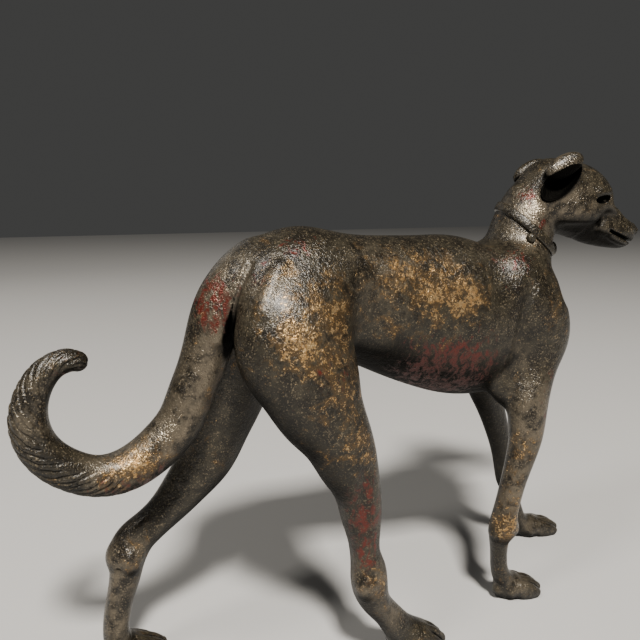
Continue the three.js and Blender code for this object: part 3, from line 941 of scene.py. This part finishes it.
def bronzeMaterial(name, carved, gildAll=0.0):
    material = bpy.data.materials.new(name)
    material.use_nodes = True
    tree = material.node_tree
    shader = tree.nodes["Principled BSDF"]
    place = node(tree, "ShaderNodeTexCoord").outputs["Object"]
    broad = noise(tree, place, *grain["sheen"])
    tone = stepped(tree, noise(tree, place, *grain["tone"]), 0.38, 0.66)
    colour = mixed(tree, tone, lacquer["umber"], lacquer["olive"])
    gilding = attribute(tree, "gilding") if carved else gildAll
    redSpot = attribute(tree, "redLacquer") if carved else 0.0
    amount = mathNode(tree, "MULTIPLY_ADD", broad, 0.8, mathNode(tree, "MULTIPLY_ADD", gilding, 0.95, -0.30))
    surfaceMasks = node(tree, "ShaderNodeGroup", node_tree=wearAndGlintTree)
    feed(tree, surfaceMasks, Coordinates=place, Amount=amount)
    rub, flakes, specks = (surfaceMasks.outputs[name] for name in ("Rub", "Flakes", "Specks"))
    # Painted glints: fine specks mixed toward a pale brown.
    colour = mixed(tree, mathNode(tree, "MULTIPLY", specks, lacquer["glintSpeckShare"]), colour, lacquer["glintSpeck"])
    if carved:
        # Polished spots: a paler, more metallic colour, partly real polish and partly a painted highlight,
        # broken by specks and tone.
        broken = mathNode(tree, "MULTIPLY_ADD", specks, 0.7, tone)
        polishAndHighlight = mathNode(tree, "MULTIPLY", attribute(tree, "polishAndHighlight"), broken)
        polishAndHighlight = mathNode(tree, "MULTIPLY", polishAndHighlight, lacquer["polishAndHighlightShare"], clamp=True)
        colour = mixed(tree, polishAndHighlight, colour, lacquer["polishAndHighlightColour"])
    streaks = noise(tree, stretched(tree, place, (0.2, 0.5, 0), (1, 1, 0.6)), *grain["redStreaks"])
    redBar = mathNode(tree, "MULTIPLY_ADD", redSpot, -0.285, 0.69)
    red = stepped(tree, mathNode(tree, "SUBTRACT", streaks, redBar), 0.0, 0.18)
    colour = mixed(tree, mathNode(tree, "MULTIPLY", red, lacquer["redShare"]), colour, lacquer["red"])
    colour = mixed(tree, mathNode(tree, "MULTIPLY", rub, lacquer["rubShare"]), colour, lacquer["rub"])
    goldTone = stepped(tree, noise(tree, place, *grain["goldTone"]), 0.36, 0.64)
    gold = mixed(tree, goldTone, lacquer["ochre"], lacquer["tan"])
    if carved:
        ridge = stepped(tree, attribute(tree, "ridge"), 0.35, 0.9)
        # Deep marks recesses and ear insides for painted shade, and keeps gilt flakes out of them.
        deep = stepped(tree, attribute(tree, "paintedShade"), 0.22, 0.72)
        edge = mathNode(tree, "MULTIPLY", ridge, specks)
        flakes = mathNode(tree, "MAXIMUM", flakes, mathNode(tree, "MULTIPLY", edge, 0.6))
        flakes = mathNode(tree, "MULTIPLY", flakes, mathNode(tree, "SUBTRACT", 1.0, deep))
    colour = mixed(tree, flakes, colour, gold)
    if carved:
        # Painted shade: downward faces, recesses and ear insides go near black, with less of it over red
        # lacquer.
        shadeMask = mathNode(tree, "MULTIPLY_ADD", red, -0.55, lacquer["shadeShare"])
        shadeMask = mathNode(tree, "MULTIPLY", attribute(tree, "underside"), shadeMask)
        shadeMask = mathNode(tree, "MAXIMUM", deep, shadeMask)
        colour = mixed(tree, shadeMask, colour, lacquer["paintedShade"])
    marks = node(tree, "ShaderNodeGroup", node_tree=marksTree)
    feed(tree, marks, Coordinates=place)
    height = mathNode(tree, "MULTIPLY_ADD", flakes, 0.35, marks.outputs["Height"])
    bump = node(tree, "ShaderNodeBump")
    feed(tree, bump, Strength=1.0, Distance=lacquer["relief"], Height=height)
    metal = mathNode(tree, "MAXIMUM", flakes, mathNode(tree, "MULTIPLY", rub, lacquer["rubShare"]))
    metal = mathNode(tree, "MULTIPLY_ADD", metal, 0.6, lacquer["metal"])
    rough = mathNode(tree, "MULTIPLY_ADD", flakes, 0.08, lacquer["smoothest"])
    rough = mathNode(tree, "MULTIPLY_ADD", broad, 0.24, rough)
    coat = lacquer["coat"]
    if carved:
        metal = mathNode(tree, "MAXIMUM", metal, mathNode(tree, "ADD", polishAndHighlight, lacquer["metal"]))
        # Where shade is painted the surface also grows more metallic and rougher, and loses its coat.
        metal = mathNode(tree, "MAXIMUM", metal, shadeMask)
        rough = mathNode(tree, "MULTIPLY_ADD", shadeMask, 0.4, rough, clamp=True)
        coat = mathNode(tree, "MULTIPLY_ADD", shadeMask, -lacquer["coat"], lacquer["coat"])
    feed(tree, shader, **{
        "Base Color": colour,
        "Metallic": metal,
        "Roughness": rough,
        "Coat Weight": coat,
        "Coat Roughness": lacquer["coatRoughness"],
        "Specular IOR Level": lacquer["specular"],
        "Normal": bump.outputs["Normal"],
    })
    return material


wearAndGlintTree = wearAndGlintGroup()
marksTree = toolMarkGroup()
carvedBronze = bronzeMaterial("lacquered bronze", True)
trimBronze = bronzeMaterial("rubbed bronze trim", False, 0.05)
print("materials made")


def fineness():
    return 1.0


def skinPiece(name, form):
    vertices, faces = skinMesh(form["skin"], form["low"], form["high"], form["cell"] * fineness())
    mesh = thinned(meshOf(name, vertices, faces.tolist()), meshForm["triangles"])
    points = settled(form["skin"], verticesOf(mesh), 2)
    marked(mesh, houndSkin, points)
    mesh.vertices.foreach_set("co", placed(points).ravel())
    mesh.update()
    print(name, "has", sum(len(face.vertices) - 2 for face in mesh.polygons), "triangles")
    return pieceOf(name, mesh, carvedBronze)


body = skinPiece("houndBody", meshForm["body"])
skinPiece("houndHead", meshForm["head"])


# A closed grid of rings by points, wrapped both ways.
def wrappedFaces(rings, around):
    i, j = np.meshgrid(np.arange(rings), np.arange(around), indexing="ij")
    nextRing, nextPoint = (i + 1) % rings, (j + 1) % around
    corners = (i * around + j, nextRing * around + j, nextRing * around + nextPoint, i * around + nextPoint)
    return np.stack([corner.ravel() for corner in corners], axis=1)


# Reach of the neck's skin from its middle in each direction, by halving between in and out.
def neckReach(centre, ways):
    inner = np.zeros(len(ways))
    outer = np.full(len(ways), 34.0)
    for _ in range(24):
        middle = (inner + outer) / 2
        outside = houndSkin(centre + ways * middle[:, None]) > 0
        outer = np.where(outside, middle, outer)
        inner = np.where(outside, inner, middle)
    return inner


# Collar: a flat profile with round edges carried around the neck's own outline.
def collarPiece():
    form = collarForm
    centre = np.array(form["through"], float)
    normal = np.array(form["lies"]) / np.linalg.norm(form["lies"])
    side = np.array((0.0, 1.0, 0.0)) - normal * normal[1]
    side /= np.linalg.norm(side)
    front = np.cross(side, normal)
    angle = np.linspace(0, 2 * np.pi, form["around"], endpoint=False)
    ways = np.cos(angle)[:, None] * front + np.sin(angle)[:, None] * side
    levels = np.array((-0.5, 0, 0.5)) * form["width"]
    reaches = np.stack([neckReach(centre + normal * level, ways) for level in levels], axis=1)
    turn = np.linspace(0, 2 * np.pi, 20, endpoint=False)
    half = form["width"] / 2
    rise = np.sign(np.sin(turn)) * np.abs(np.sin(turn)) ** 0.55 * half
    depth = (form["proud"] + form["sunk"]) / 2
    out = np.sign(np.cos(turn)) * np.abs(np.cos(turn)) ** 0.55 * depth + form["proud"] - depth
    reach = np.stack([np.interp(rise, levels, row) for row in reaches])
    points = centre + ways[:, None] * (reach + out[None])[..., None] + normal * rise[None, :, None]
    mesh = meshOf("collar", placed(points.reshape(-1, 3)), wrappedFaces(len(angle), len(turn)).tolist())
    return pieceOf("collar", mesh, trimBronze)


# A turned shape: rings of a radius at places along an axis, with a point at each end.
def turnedPiece(name, foot, axis, profile, around=40):
    axis = np.array(axis, float) / np.linalg.norm(axis)
    side = np.cross(axis, (0.3, 1, 0.1))
    side /= np.linalg.norm(side)
    other = np.cross(axis, side)
    along, radius = np.array(profile, float).T
    angle = np.linspace(0, 2 * np.pi, around, endpoint=False)
    ring = np.cos(angle)[:, None] * side + np.sin(angle)[:, None] * other
    points = np.array(foot) + along[:, None, None] * axis + radius[:, None, None] * ring[None]
    rows, columns = len(along), around
    i, j = np.meshgrid(np.arange(rows - 1), np.arange(columns), indexing="ij")
    after = (j + 1) % columns
    here, beyond = i * columns, (i + 1) * columns
    quads = np.stack([c.ravel() for c in (here + j, here + after, beyond + after, beyond + j)], axis=1)
    ends = [np.array(foot) + along[0] * axis, np.array(foot) + along[-1] * axis]
    vertices = np.concatenate((points.reshape(-1, 3), ends))
    turn = np.arange(columns)
    first, last = rows * columns, rows * columns + 1
    faces = quads.tolist()
    faces += np.stack((np.full(columns, first), (turn + 1) % columns, turn), axis=1).tolist()
    top = (rows - 1) * columns
    faces += np.stack((np.full(columns, last), top + turn, top + (turn + 1) % columns), axis=1).tolist()
    return pieceOf(name, meshOf(name, placed(vertices), faces), trimBronze)


hungForm = {  # foot on the collar, axis, radius and length; a smaller power is fuller
    "collarBead": {
        "foot": (246.2, -14.6, 201.4), "axis": (-0.62, -0.76, -0.2),
        "radius": 2.5, "length": 4.4, "power": 0.6,
    },
    "collarBell": {
        "foot": (271.2, -4.6, 197.8), "axis": (0.15, -0.05, -1),
        "radius": 2.7, "length": 7.8, "power": 0.8,
    },
}


# Rounded profile: length x (1 - cos t) / 2 along the axis, radius x sin t to the power.
def hungPiece(name):
    form = hungForm[name]
    turns = np.linspace(0, np.pi, 15)[1:-1]
    radii = [form["radius"] * math.sin(t) ** form["power"] for t in turns]
    profile = [(form["length"] * (1 - math.cos(t)) / 2, radius) for t, radius in zip(turns, radii)]
    return turnedPiece(name, form["foot"], form["axis"], profile)


collarPiece()
for name in hungForm:
    hungPiece(name)
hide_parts("hound")
print("collar, bead and bell made")

studio = {
    "floorColour": (0.36, 0.355, 0.345, 1),
    "lightColour": (1.0, 0.955, 0.89),
    "worldColour": (0.60, 0.60, 0.585, 1),
    "worldStrength": 0.09,
    "keyAt": (-0.42, -1.50, 2.20), "keySize": 0.34, "keyPower": 200,
    "sideAt": (-1.25, -0.35, 1.80), "sideSize": 0.35, "sidePower": 20,
    "backAt": (-0.3, 1.3, 0.9), "backSize": 0.9, "backPower": 2,
}


def floorPiece():
    mesh = bpy.data.meshes.new("floor")
    mesh.from_pydata([(-4, -4, 0), (4, -4, 0), (4, 4, 0), (-4, 4, 0)], [], [(0, 1, 2, 3)])
    floor = bpy.data.objects.new("floor", mesh)
    bpy.context.scene.collection.objects.link(floor)
    material = bpy.data.materials.new("plain floor")
    material.use_nodes = True
    shader = material.node_tree.nodes["Principled BSDF"]
    shader.inputs["Base Color"].default_value = studio["floorColour"]
    shader.inputs["Roughness"].default_value = 0.75
    mesh.materials.append(material)
    return floor


def softLight(name, place, size, power):
    light = bpy.data.lights.new(name, "AREA")
    light.size = size
    light.energy = power
    light.color = studio["lightColour"]
    lamp = bpy.data.objects.new(name, light)
    lamp.location = place
    lamp.rotation_euler = (Vector((0, 0, 0.12)) - Vector(place)).to_track_quat("-Z", "Y").to_euler()
    bpy.context.scene.collection.objects.link(lamp)


world = bpy.data.worlds.new("studio")
bpy.context.scene.world = world
world.use_nodes = True
world.node_tree.nodes["Background"].inputs["Color"].default_value = studio["worldColour"]
world.node_tree.nodes["Background"].inputs["Strength"].default_value = studio["worldStrength"]
for name in ("key", "side", "back"):
    softLight(name, studio[name + "At"], studio[name + "Size"], studio[name + "Power"])
floorPiece()
print("studio lit")
